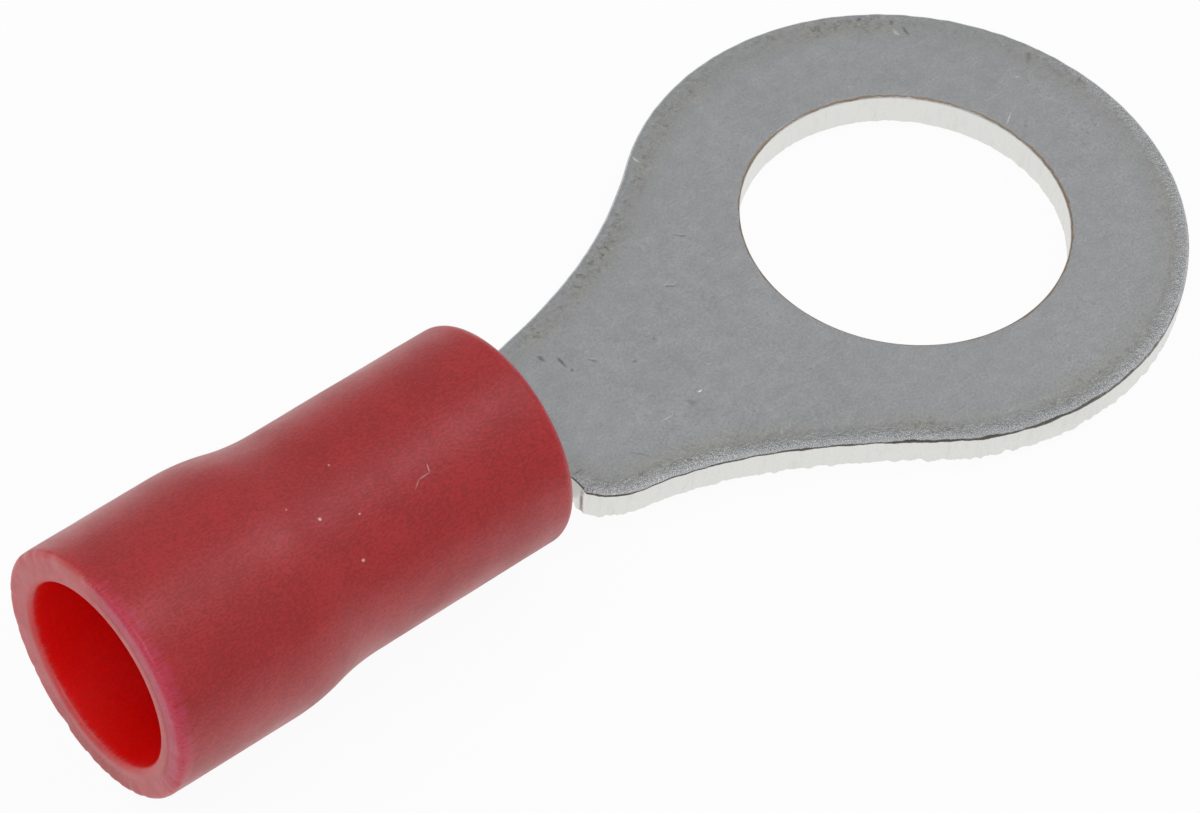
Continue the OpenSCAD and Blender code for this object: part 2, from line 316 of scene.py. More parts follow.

    # The outer edge is rubbed to a warmer grey, with dirt in the grain just inside it. The metal
    # drawn down towards the roll is coarse. On the near side it gets painted glints, points of
    # near-white, more at the shoulder and round the ring than along the waist between them; along
    # the waist the roll is darkened instead, partly grime and partly painted shade.
    for name, operation, first, second in (
            ("rubShare", "MULTIPLY", "rubInside", "rubPatches"),
            ("rubbed", "MULTIPLY", "rubShare", "rubOutside"),
            ("edgeBand", "MULTIPLY", "bandInside", "bandOutside"),
            ("dirtBand", "MULTIPLY", "edgeBand", "dirtPatches"),
            ("dirtGate", "MULTIPLY", "dirtGrains", "dirtBand"),
            ("dirtShare", "MULTIPLY", "dirtGate", "dirtStrength"),
            ("stain", "MULTIPLY", "stainGrains", "stainPatches"),
            ("mottledTone", "MULTIPLY", "grainTone", "mottleTone"),
            ("blotchedTone", "MULTIPLY", "mottledTone", "blotchTone"),
            ("lightTone", "MULTIPLY", "blotchedTone", "wearLight"),
            ("tone", "MULTIPLY", "lightTone", "wearDark"),
            ("darkMark", "MULTIPLY", "darkSpots", "onTop"),
            ("lightMark", "MULTIPLY", "lightSpots", "onTop"),
            ("side", "MAXIMUM", "edgeSide", "holeSide"),
            ("sideMark", "MULTIPLY", "sideSpots", "side"),
            ("edgeThick", "MULTIPLY", "thick", "thickFrom"),
            ("onRoll", "MULTIPLY", "rollStart", "rollEnd"),
            ("coarseBand", "MULTIPLY", "coarseStart", "coarseEnd"),
            ("coarse", "MULTIPLY", "coarseBand", "coarseNear"),
            ("brightEnds", "MAXIMUM", "shoulderBright", "ringBright"),
            ("nearGlint", "MULTIPLY", "glintGrains", "coarse"),
            ("glint", "MULTIPLY", "nearGlint", "brightEnds"),
            ("rollRelief", "MULTIPLY", "rollGrain", "coarse"),
            ("streakRelief", "MULTIPLY", "streak", "side"),
            ("markRelief", "SUBTRACT", "lightMark", "darkMark")):
        made = addNode(tree, "ShaderNodeMath", {"operation": operation},
                       {0: value[first], 1: value[second]})
        value[name] = made.outputs[0]
    # Darkens the roll along the waist, where it has no painted glints: painted shade, partly grime.
    waistShadeShare = addNode(tree, "ShaderNodeMapRange",
                        {"From Min": 0.2, "From Max": 1, "To Min": t["waistShadeLevel"], "To Max": 0},
                        {"Value": value["brightEnds"]})
    waistGrimeAndShade = addNode(tree, "ShaderNodeMath", {"operation": "MULTIPLY"},
                   {0: value["coarse"], 1: waistShadeShare.outputs[0]})
    value["waistGrimeAndShade"] = waistGrimeAndShade.outputs[0]

    # The lines of bare copper where the rolled edge meets the sheared side.
    for name, run, middle, halfWidth, spread, strength in (
            ("edgeLine", "edgeRun", edgeArc, t["edgeLineMm"], "edgeThick", 0.95),
            ("holeLine", "holeRun", holeArc * 0.35, t["holeLineMm"], "thick", 0.8)):
        wandered = addNode(tree, "ShaderNodeMath", {"operation": "ADD"},
                           {0: value[run], 1: value["wander"]})
        off = addNode(tree, "ShaderNodeMath", {"operation": "SUBTRACT", 1: middle},
                      {0: wandered.outputs[0]})
        away = addNode(tree, "ShaderNodeMath", {"operation": "ABSOLUTE"}, {0: off.outputs[0]})
        scaled = addNode(tree, "ShaderNodeMath", {"operation": "DIVIDE"},
                         {0: away.outputs[0], 1: value[spread]})
        drawn = addNode(tree, "ShaderNodeMapRange",
                        {"interpolation_type": "SMOOTHSTEP", "From Min": halfWidth * 0.6,
                         "From Max": halfWidth * 1.3, "To Min": strength, "To Max": 0},
                        {"Value": scaled.outputs[0]})
        line = addNode(tree, "ShaderNodeMath", {"operation": "MULTIPLY"},
                       {0: drawn.outputs[0], 1: value["topHalf"]})
        value[name] = line.outputs[0]

    # The colour is laid on in this order. The sheared side has faint streaks through the
    # sheet's thickness.
    toneColour = addNode(tree, "ShaderNodeCombineColor", {},
                         {0: value["tone"], 1: value["tone"], 2: value["tone"]})
    sheared = addNode(tree, "ShaderNodeMix",
                      {"data_type": "RGBA", 6: linearColour(t["sheared"]),
                       7: linearColour(t["shearStreak"])}, {0: value["streakShare"]})
    base = addNode(tree, "ShaderNodeMix",
                   {"data_type": "RGBA", 6: linearColour(t["tin"]),
                    7: linearColour(t["tinRubbed"])}, {0: value["rubbed"]})
    colour = base.outputs[2]
    # Of these layers, glint lays painted highlights, and the waist's darkening is painted shade
    # mixed with grime.
    for layer in ("dirtShare", "stain", "tone", "darkMark", "lightMark", "side", "sideMark",
                  "edgeLine", "holeLine", "glint", "waistGrimeAndShade"):
        settings = {"data_type": "RGBA"}
        links = {6: colour}
        if layer == "tone":
            settings["blend_type"] = "MULTIPLY"
            settings[0] = 1
            links[7] = toneColour.outputs[0]
        else:
            links[0] = value[layer]
            if layer == "side":
                links[7] = sheared.outputs[2]
            else:
                settings[7] = linearColour(t[tinLayers[layer]])
        colour = addNode(tree, "ShaderNodeMix", settings, links).outputs[2]

    bare = addNode(tree, "ShaderNodeMath", {"operation": "MAXIMUM"},
                   {0: value["edgeLine"], 1: value["holeLine"]})
    covered = addNode(tree, "ShaderNodeMath", {"operation": "MAXIMUM"},
                      {0: bare.outputs[0], 1: value["darkMark"]})
    metal = addNode(tree, "ShaderNodeMapRange",
                    {"From Min": 0, "From Max": 1, "To Min": 1, "To Max": 0.35},
                    {"Value": covered.outputs[0]})

    rough = value["rough"]
    for share, change in (("onRoll", t["rollRoughness"] - t["roughness"]), ("waistGrimeAndShade", 0.5),
                          ("side", t["shearRoughness"] - t["roughness"])):
        scaled = addNode(tree, "ShaderNodeMath", {"operation": "MULTIPLY", 1: change},
                         {0: value[share]})
        rough = addNode(tree, "ShaderNodeMath", {"operation": "ADD"},
                        {0: rough, 1: scaled.outputs[0]}).outputs[0]

    # Strength and depth in metres of each relief.
    links = {}
    for height, strength, distance in (
            ("grain", 0.3, 5e-6), ("rollRelief", 0.9, 7e-5), ("streakRelief", 0.2, 1.2e-5),
            ("markRelief", 0.7, 2.5e-5), ("mottle", 0.3, 4e-5)):
        links["Height"] = value[height]
        bump = addNode(tree, "ShaderNodeBump", {"Strength": strength, "Distance": distance}, links)
        links["Normal"] = bump.outputs[0]
    surface = addNode(tree, "ShaderNodeBsdfPrincipled", {},
                      {"Base Color": colour, "Metallic": metal.outputs[0], "Roughness": rough,
                       "Normal": links["Normal"]})
    addNode(tree, "ShaderNodeOutputMaterial", {}, {"Surface": surface.outputs[0]})
    return material


# PVC: plasticised, extruded and formed over a mandrel, with a satin skin. It is a deep red
# that glows where light comes through the thin wall, with fine pores, and paler where the ends
# were cut. Outside, its colour is paled by a haze, partly a scuffed skin and partly painted sheen;
# in the bore it is painted a brighter red, standing in for the light that comes through the wall.
pvcFinish = {
    # Skin colours paled partly by a scuffed haze, partly by painted sheen.
    "skin": "#BE2F33",
    # Bore colours painted brighter red, standing in for light through the thin wall.
    "skinDark": "#A82428",
    "bore": "#F40A05",
    "boreDark": "#DE0A06",
    "cutEnd": "#CB5E61",
    "cutDark": "#B93A3C",
    "rimStreak": "#CA446A",
    "dust": "#F0DCD6",
    "roughness": 0.4,
    "poreMm": 0.043,                 # coarser than the real pores, which wouldn't show
    "mottleMm": 1.2,
    "glowWeight": 0.7,
    "glowReach": 0.001,              # m, how far red light travels in the wall
    "haze": 0.12,
}


# Dust on the skin, laid out like the marks on the tin: x along the sleeve and then the way
# around it from its top, in mm. The first three are one bent lint hair.
dustMarks = [
    (-13.12, -1.17, 0.08, 0.014, -107, 0.45),
    (-13.27, -1.25, 0.14, 0.012, 3, 0.4),
    (-13.47, -1.31, 0.10, 0.012, 36, 0.3),
    (-15.49, -0.97, 0.035, 0.03, 0, 0.9),
    (-14.75, -1.23, 0.025, 0.02, 0, 0.7),
    (-15.11, -1.99, 0.035, 0.03, 0, 0.85),
    (-15.95, -0.56, 0.02, 0.02, 0, 0.5),
    (-14.65, -0.16, 0.02, 0.02, 0, 0.6),
]


def makePvc():
    t = pvcFinish
    material, tree = newMaterial("satinRedPvc")
    place = addNode(tree, "ShaderNodeTexCoord")
    mmPlace = addNode(tree, "ShaderNodeMapping", {"Scale": (1000, 1000, 1000)},
                      {"Vector": place.outputs["Object"]})
    spot = mmPlace.outputs["Vector"]
    cutEnd = addNode(tree, "ShaderNodeAttribute", {"attribute_name": "cutEnd"}).outputs["Fac"]
    rimGlow = addNode(tree, "ShaderNodeAttribute", {"attribute_name": "rimGlow"}).outputs["Fac"]
    bore = addNode(tree, "ShaderNodeAttribute", {"attribute_name": "bore"}).outputs["Fac"]

    # The pores are drawn out along the sleeve by the extrusion.
    porePlace = addNode(tree, "ShaderNodeMapping", {"Scale": (0.55, 1, 1)}, {"Vector": spot})
    pores = addNode(tree, "ShaderNodeTexNoise",
                    {"Scale": 1 / t["poreMm"], "Detail": 3, "Roughness": 0.6},
                    {"Vector": porePlace.outputs["Vector"]})
    mottle = addNode(tree, "ShaderNodeTexNoise",
                     {"Scale": 1 / t["mottleMm"], "Detail": 4, "Roughness": 0.6}, {"Vector": spot})
    poreShade = addNode(tree, "ShaderNodeMapRange",
                        {"From Min": 0.3, "From Max": 0.7, "To Min": 1, "To Max": 0},
                        {"Value": pores.outputs["Fac"]})
    shade = addNode(tree, "ShaderNodeMath", {"operation": "ADD"},
                    {0: poreShade.outputs[0], 1: mottle.outputs["Fac"]})
    shadeFade = addNode(tree, "ShaderNodeMapRange",
                        {"From Min": 0.65, "From Max": 1.35, "To Min": -0.3, "To Max": 1.3,
                         "clamp": False}, {"Value": shade.outputs[0]})
    # The skin, its red paled partly by scuffing and partly by painted sheen.
    skin = addNode(tree, "ShaderNodeMix",
                   {"data_type": "RGBA", 6: linearColour(t["skin"]), 7: linearColour(t["skinDark"])},
                   {0: shadeFade.outputs[0]})
    # The bore's red, painted brighter for the light that comes through the wall.
    inside = addNode(tree, "ShaderNodeMix",
                     {"data_type": "RGBA", 6: linearColour(t["bore"]),
                      7: linearColour(t["boreDark"])}, {0: poreShade.outputs[0]})
    body = addNode(tree, "ShaderNodeMix", {"data_type": "RGBA"},
                   {0: bore, 6: skin.outputs[2], 7: inside.outputs[2]})

    # Streaks that the cutter dragged over the rim, long along the sleeve.
    streakPlace = addNode(tree, "ShaderNodeMapping", {"Scale": (1.4, 14, 14)}, {"Vector": spot})
    streaks = addNode(tree, "ShaderNodeTexNoise", {"Scale": 1.3, "Detail": 4, "Roughness": 0.7},
                      {"Vector": streakPlace.outputs["Vector"]})
    streakReach = addNode(tree, "ShaderNodeMath", {"operation": "MULTIPLY"},
                          {0: streaks.outputs["Fac"], 1: rimGlow})
    streakMask = addNode(tree, "ShaderNodeMapRange",
                         {"From Min": 0.22, "From Max": 0.44, "To Min": 0, "To Max": 0.8},
                         {"Value": streakReach.outputs[0]})

    # The cut face is pale where the blade sheared it and redder where it tore.
    tornPlace = addNode(tree, "ShaderNodeTexNoise",
                        {"Scale": 2.2, "Detail": 4, "Roughness": 0.6}, {"Vector": spot})
    torn = addNode(tree, "ShaderNodeMapRange",
                   {"From Min": 0.42, "From Max": 0.62, "To Min": 0, "To Max": 0.5},
                   {"Value": tornPlace.outputs["Fac"]})
    cutColour = addNode(tree, "ShaderNodeMix",
                        {"data_type": "RGBA", 6: linearColour(t["cutEnd"]),
                         7: linearColour(t["cutDark"])}, {0: torn.outputs[0]})
    cutEdge = addNode(tree, "ShaderNodeMath", {"operation": "MULTIPLY_ADD", 1: 1.1, 2: -0.55},
                      {0: streaks.outputs["Fac"]})
    cutRagged = addNode(tree, "ShaderNodeMath", {"operation": "ADD"},
                        {0: cutEdge.outputs[0], 1: cutEnd})
    cutMask = addNode(tree, "ShaderNodeMapRange",
                      {"interpolation_type": "SMOOTHSTEP", "From Min": 0.25, "From Max": 0.75,
                       "To Min": 0, "To Max": 1}, {"Value": cutRagged.outputs[0]})
    ended = addNode(tree, "ShaderNodeMix", {"data_type": "RGBA"},
                    {0: cutMask.outputs[0], 6: body.outputs[2], 7: cutColour.outputs[2]})
    rimmed = addNode(tree, "ShaderNodeMix", {"data_type": "RGBA", 7: linearColour(t["rimStreak"])},
                     {0: streakMask.outputs[0], 6: ended.outputs[2]})

    # Specks of dust and a lint hair, laid out along the sleeve and around it.
    around = addNode(tree, "ShaderNodeAttribute", {"attribute_name": "around"}).outputs["Fac"]
    along = addNode(tree, "ShaderNodeSeparateXYZ", {}, {0: spot}).outputs["X"]
    unrolled = addNode(tree, "ShaderNodeCombineXYZ", {}, {0: along, 1: around})
    dust = markMask(tree, unrolled.outputs[0], pores.outputs["Fac"], dustMarks, 0, 1)
    flecked = addNode(tree, "ShaderNodeMix", {"data_type": "RGBA", 7: linearColour(t["dust"])},
                      {0: dust, 6: rimmed.outputs[2]})

    rough = addNode(tree, "ShaderNodeMapRange",
                    {"From Min": 0.3, "From Max": 0.7, "To Min": t["roughness"] - 0.06,
                     "To Max": t["roughness"] + 0.08}, {"Value": mottle.outputs["Fac"]})
    poreBump = addNode(tree, "ShaderNodeBump", {"Strength": 0.6, "Distance": 0.00001},
                       {"Height": pores.outputs["Fac"]})
    waveBump = addNode(tree, "ShaderNodeBump", {"Strength": 0.25, "Distance": 0.00006},
                       {"Height": mottle.outputs["Fac"], "Normal": poreBump.outputs[0]})
    haze = addNode(tree, "ShaderNodeMapRange", {"To Min": t["haze"], "To Max": 0}, {"Value": bore})
    surface = addNode(tree, "ShaderNodeBsdfPrincipled",
                      {"IOR": 1.54, "Subsurface Weight": t["glowWeight"],
                       "Subsurface Scale": t["glowReach"], "Subsurface Radius": (1, 0.1, 0.08),
                       "Sheen Roughness": 0.4},
                      {"Base Color": flecked.outputs[2], "Roughness": rough.outputs[0],
                       "Normal": waveBump.outputs[0], "Sheen Weight": haze.outputs[0]})
    addNode(tree, "ShaderNodeOutputMaterial", {}, {"Surface": surface.outputs[0]})
    return material


# The terminal is drawn as the flat blank that the press cuts, given its thickness and its
# edges, and then its neck and barrel are rolled up as the tool does.
blank = {
    "thickness": 0.7,
    "holeRadius": 3.2,
    "ringRadius": 5.5,
    "sideRadius": 12,
    "waistHalf": 1.93,
    "shoulderX": -9.5,
    "shoulderRadius": 1.4,
    "shoulderTrim": 0.25,            # the rear edges cut the corners' arcs this much short
    "neckHalf": 1.15,
    "climbStartX": -3.5,             # from here the tongue climbs to the barrel's underside
    "climb": 0.25,
    "bendStartX": -9.6,
    "barrelFrontX": -10.3,
    "barrelLength": 4.8,
    "barrelInner": 0.9,
    "seamHalf": 0.03,
    "leadIn": 0.15,
    "grooveEvery": 1.2,
    "grooveDepth": 0.06,
    "grooveFlat": 0.075,             # half of the flat at the bottom of a groove
    "edgeRoll": 0.1,
    "holeRoll": 0.045,
    "rollSegments": 6,
    "spacing": 0.05,                 # along the outline
    "strip": 0.13,                   # first row in from an edge, wider than the roll
    "rowCuts": 12,
    "sideCuts": 8,
    "burr": 0.035,                   # how far the sheared side and its lower edge wander
    "holeBurr": 0.012,               # the hole was sheared cleaner
    "drawDown": 0.03,                # how far the top sinks towards the outer edge
    "drawWidth": 0.7,
    "cornerDensity": 1.5,            # how much finer the shoulders' arcs are than the rest
    "neckSegments": 24,              # across half of the neck
    "wingSegments": 36,              # across each of the barrel's wings
    "flatRows": 3,
    "bendRows": 18,
    "sideNormal": 0.1,               # a face with less of Z than this stands upright
    "holeReach": 0.1,                # how near to the hole an edge belongs to it
    "burrScale": 5,                  # the noise's features in each mm, here and below
    "fineBurrScale": 13,
    "gritScale": 14,
    "dentScale": 4,
}


def makeTerminal(material):
    b = blank
    ringR = b["ringRadius"]
    sideR = b["sideRadius"]
    shoulderR = b["shoulderRadius"]
    sideY = b["waistHalf"] + sideR
    sideX = -math.sqrt((ringR + sideR) ** 2 - sideY ** 2)
    tangent = math.degrees(math.atan2(sideY, sideX))
    cornerX = b["shoulderX"] - b["shoulderTrim"] + shoulderR
    cornerY = sideY - math.sqrt((sideR + shoulderR) ** 2 - (cornerX - sideX) ** 2)
    cornerTurn = math.degrees(math.atan2(cornerY - sideY, cornerX - sideX))
    sideSweep = tangent - 180 - cornerTurn
    trimRise = math.degrees(math.acos((cornerX - b["shoulderX"]) / shoulderR))
    cornerSweep = -cornerTurn - trimRise
    shoulderY = cornerY + shoulderR * math.sin(math.radians(trimRise))
    thick = b["thickness"]
    barrelMid = b["barrelInner"] + thick / 2
    wingEnd = barrelMid * math.pi - b["seamHalf"]

    bm = bmesh.new()
    runLayer = bm.verts.layers.float.new("edgeRun")
    holeLayer = bm.verts.layers.float.new("holeRun")
    tip = bm.verts.new((ringR, 0, 0))
    counts = [
        round(math.radians(tangent) * ringR / b["spacing"]),
        round(math.radians(sideSweep) * sideR / b["spacing"]),
        round(math.radians(cornerSweep) * shoulderR / b["spacing"] * b["cornerDensity"]),
        round((shoulderY - b["neckHalf"]) / b["spacing"]),
        b["neckSegments"],
    ]
    end = drawArc(bm, tip, (0, 0, 0), upright, tangent, counts[0])
    end = drawArc(bm, end, (sideX, sideY, 0), upright, -sideSweep, counts[1])
    end = drawArc(bm, end, (cornerX, cornerY, 0), upright, cornerSweep, counts[2])
    neckX = end.co.x
    end = drawLine(bm, end, (0, b["neckHalf"] - shoulderY, 0), counts[3])
    drawLine(bm, end, (0, -b["neckHalf"], 0), counts[4])
    holeStart = bm.verts.new((b["holeRadius"], 0, 0))
    drawArc(bm, holeStart, (0, 0, 0), upright, 180, sum(counts))
    bmesh.ops.bridge_loops(bm, edges=bm.edges[:])
    bmesh.ops.mirror(bm, geom=bm.verts[:] + bm.edges[:] + bm.faces[:], matrix=Matrix.Identity(4),
                     merge_dist=weldDistance, axis="Y")
    bmesh.ops.remove_doubles(bm, verts=bm.verts[:], dist=weldDistance)
    bmesh.ops.recalc_face_normals(bm, faces=bm.faces[:])
    inner = bm.faces[:]
    bmesh.ops.inset_region(bm, faces=inner, use_boundary=True, use_even_offset=True,
                           thickness=b["strip"])
    innerSet = set(inner)
    spokes = [e for e in bm.edges
              if len(e.link_faces) == 2 and all(f in innerSet for f in e.link_faces)]
    bmesh.ops.subdivide_edges(bm, edges=spokes, cuts=b["rowCuts"], use_grid_fill=True)
    print("blank outline drawn,", len(bm.faces), "faces")

    # The neck and the barrel's blank grow back from the rear of the tongue.
    rear = [e for e in bm.edges
            if e.is_boundary and max(v.co.x for v in e.verts) < neckX + weldDistance
            and max(abs(v.co.y) for v in e.verts) < b["neckHalf"] + weldDistance]
    flatStep = (b["bendStartX"] - neckX) / b["flatRows"]
    bendStep = (b["barrelFrontX"] - b["bendStartX"]) / b["bendRows"]
    moves = [(flatStep, 0, 0)] * b["flatRows"] + [(bendStep, 0, 0)] * b["bendRows"]
    front = extrudeRows(bm, rear, moves)
    known = set(bm.edges)
    for sign in (-1, 1):
        ends = [v for e in front for v in e.verts
                if abs(v.co.y - sign * b["neckHalf"]) < weldDistance]
        drawLine(bm, ends[0], (0, sign * (wingEnd - b["neckHalf"]), 0), b["wingSegments"])
    wings = [e for e in bm.edges if e not in known]
    barrelRow = b["grooveFlat"]
    barrelRows = round(b["barrelLength"] / barrelRow)
    extrudeRows(bm, front + wings, [(-barrelRow, 0, 0)] * barrelRows)

    grown = bmesh.ops.extrude_face_region(bm, geom=bm.faces[:])["geom"]
    topVerts = [g for g in grown if isinstance(g, bmesh.types.BMVert)]
    bmesh.ops.translate(bm, vec=(0, 0, thick), verts=topVerts)
    bmesh.ops.recalc_face_normals(bm, faces=bm.faces[:])

    def rimEdges(keep):
        found = []
        for e in bm.edges:
            if min(v.co.z for v in e.verts) < thick - weldDistance or len(e.link_faces) != 2:
                continue
            if min(abs(f.normal.z) for f in e.link_faces) < b["sideNormal"] and keep(e):
                found.append(e)
        return found

    def onHole(e):
        return max(v.co.xy.length for v in e.verts) < b["holeRadius"] + b["holeReach"]

    def onTongue(e):
        return max(v.co.x for v in e.verts) > neckX + weldDistance and not onHole(e)

    for keep, width in ((onTongue, b["edgeRoll"]), (onHole, b["holeRoll"])):
        bmesh.ops.bevel(bm, geom=rimEdges(keep), offset=width, offset_type="OFFSET",
                        segments=b["rollSegments"], profile=0.5, affect="EDGES", material=-1,
                        clamp_overlap=False)
    uprights = [e for e in bm.edges
                if abs(e.verts[0].co.z - e.verts[1].co.z) > thick / 2
                and min(v.co.x for v in e.verts) > b["barrelFrontX"] - weldDistance]
    bmesh.ops.subdivide_edges(bm, edges=uprights, cuts=b["sideCuts"], use_grid_fill=True)
    print("blank given its edges,", len(bm.faces), "faces")

    def fromOutline(x, y):
        # Distance in from the outer edge, and the direction in, both in plan.
        flip = -1 if y < 0 else 1
        at = Vector((x, abs(y)))
        corner = Vector((cornerX, cornerY))
        if x < neckX - weldDistance:
            return b["neckHalf"] - at.y, Vector((0, -flip))
        if math.degrees(math.atan2(at.y, at.x)) <= tangent:
            gap = ringR - at.length
            inward = -at / max(at.length, 1)
        elif at.x > cornerX + shoulderR * math.cos(math.radians(180 + cornerTurn)):
            away = at - Vector((sideX, sideY))
            gap = away.length - sideR
            inward = away.normalized()
        else:
            away = at - corner
            gap = shoulderR - away.length
            inward = -away / max(away.length, 0.1)
            if at.y < b["neckHalf"] - weldDistance:
                gap = max(gap, b["neckHalf"] - at.y)
            elif x - neckX < gap:
                return x - neckX, Vector((1, 0))
        return gap, Vector((inward.x, inward.y * flip))

    # The rolled edge, the sheared side below it and the burr at its foot. The attributes
    # hold how far a point is down the edge, in mm, from where the top starts to roll over.
    touch = weldDistance * 4
    for v in bm.verts:
        x, y, z = v.co
        if x < b["barrelFrontX"] + weldDistance:
            v[runLayer] = v[holeLayer] = -2
            continue
        gap, inward = fromOutline(x, y)
        holeGap = math.hypot(x, y) - b["holeRadius"]
        isSquare = x < neckX + weldDistance
        for layer, reach, roll in ((runLayer, gap, b["edgeRoll"]),
                                   (holeLayer, holeGap, b["holeRoll"])):
            arc = roll * math.pi / 2
            rollFoot = thick if isSquare and layer == runLayer else thick - roll
            if reach < touch and z <= rollFoot + weldDistance:
                v[layer] = arc + rollFoot - z
            elif reach < roll and z > rollFoot:
                v[layer] = roll * math.atan2(roll - reach, max(z - rollFoot, 0.0001))
            else:
                v[layer] = max(-2, roll - reach) if z > thick / 2 else -2
        if x < b["bendStartX"]:
            continue
        wander = noise.noise(Vector((x, y, 0)) * b["burrScale"])
        wander += 0.6 * noise.noise(Vector((x, y, 3)) * b["fineBurrScale"])
        low = 1 - smoothStep(0, 0.5 * thick, z)
        for reach, way, burr in ((gap, inward, b["burr"]),
                                 (holeGap, Vector((x, y)).normalized(), b["holeBurr"])):
            if reach < touch and z < thick * 0.8:
                grit = noise.noise(Vector((x, y, z)) * b["gritScale"])
                push = low * max(0, 0.4 + 0.5 * wander) + max(0, grit) * (0.4 * low + 0.15)
                v.co.xy = v.co.xy + way * burr * push
                if z < weldDistance:
                    v.co.z = burr * (1.3 * wander - 0.1)
        if z > thick / 2 and gap < b["drawWidth"]:
            sink = (1 - max(gap, 0) / b["drawWidth"]) ** 2
            dent = 1 + 0.5 * noise.noise(Vector((x, y, 0)) * b["dentScale"])
            v.co.z -= b["drawDown"] * sink * dent * smoothStep(b["bendStartX"], neckX + 0.6, x)

    # The tongue climbs on two equal arcs.
    climbRun = b["climbStartX"] - cornerX
    climbR = (climbRun ** 2 + b["climb"] ** 2) / (4 * b["climb"])
    for v in bm.verts:
        along = min(climbRun, max(0, b["climbStartX"] - v.co.x))
        short = min(along, climbRun - along)
        bow = climbR - math.sqrt(climbR ** 2 - short ** 2)
        v.co.z += bow if along < climbRun / 2 else b["climb"] - bow

    # Rolls the neck and the barrel up round the wire's axis.
    leadStart = b["barrelFrontX"] - b["barrelLength"] + b["leadIn"]
    for v in bm.verts:
        if v.co.x >= b["bendStartX"]:
            continue
        along = b["barrelFrontX"] - v.co.x
        part = smoothStep(0, 1, (b["bendStartX"] - v.co.x) / (b["bendStartX"] - b["barrelFrontX"]))
        curl = part / barrelMid
        turn = v.co.y * curl
        out = v.co.z - b["climb"] - thick / 2
        if along > weldDistance and out > 0:
            halfPitch = b["grooveEvery"] / 2
            fromGroove = abs((along + halfPitch) % b["grooveEvery"] - halfPitch)
            isGroove = halfPitch < along < b["barrelLength"] - halfPitch
            if isGroove:
                out -= b["grooveDepth"] * min(1, max(0, 2 - fromGroove / b["grooveFlat"]))
            out -= max(0, leadStart - v.co.x)
        flatY = math.sin(turn) / curl if curl > 0 else v.co.y
        flatZ = (1 - math.cos(turn)) / curl if curl > 0 else 0
        v.co.y = flatY - out * math.sin(turn)
        v.co.z = b["climb"] + thick / 2 + flatZ + out * math.cos(turn)
    return finishPiece(bm, "tinnedTerminal", material, 32)


# The sleeve is a profile spun round the wire's axis, with a smooth step up to the wire entry.
sleeve = {
    "frontX": -10.4,
    "length": 9.4,
    "axisZ": 1.85,
    "boreRadius": 1.62,
    "wall": 0.65,
    "entryRadius": 1.87,
    "entryLength": 2.9,
    "stepLength": 2.1,
    "entryRound": 0.12,
    "frontRound": 0.24,
    "spinSteps": 256,
    "rowSpacing": 0.1,
    "boreSpacing": 0.18,
    "faceSegments": 4,               # on the front face, its round, the step, the entry's
    "frontSegments": 9,              # rim, the cut face and the step inside
    "stepSegments": 11,
    "rimSegments": 6,
    "cutSegments": 8,
    "innerSegments": 7,
    "wave": 0.012,                   # how far the skin wanders inwards
    "cutFade": 0.35,                 # how far the cut's paleness reaches into the bore
    "press": 0.09,                   # how far the cut pressed the far lower rim in
    "pressDepth": 0.6,
    "nick": 0.05,                    # how far the cutter tore the entry's rim
    "streakReach": 0.6,              # how far back the torn rim shows
    "skinScale": 0.7,                # the noise's features in each mm
    "fineSkinScale": 2.5,
    "tornScale": 9,                  # and its features around the rim, in each radian
    "fineTornScale": 23,
}


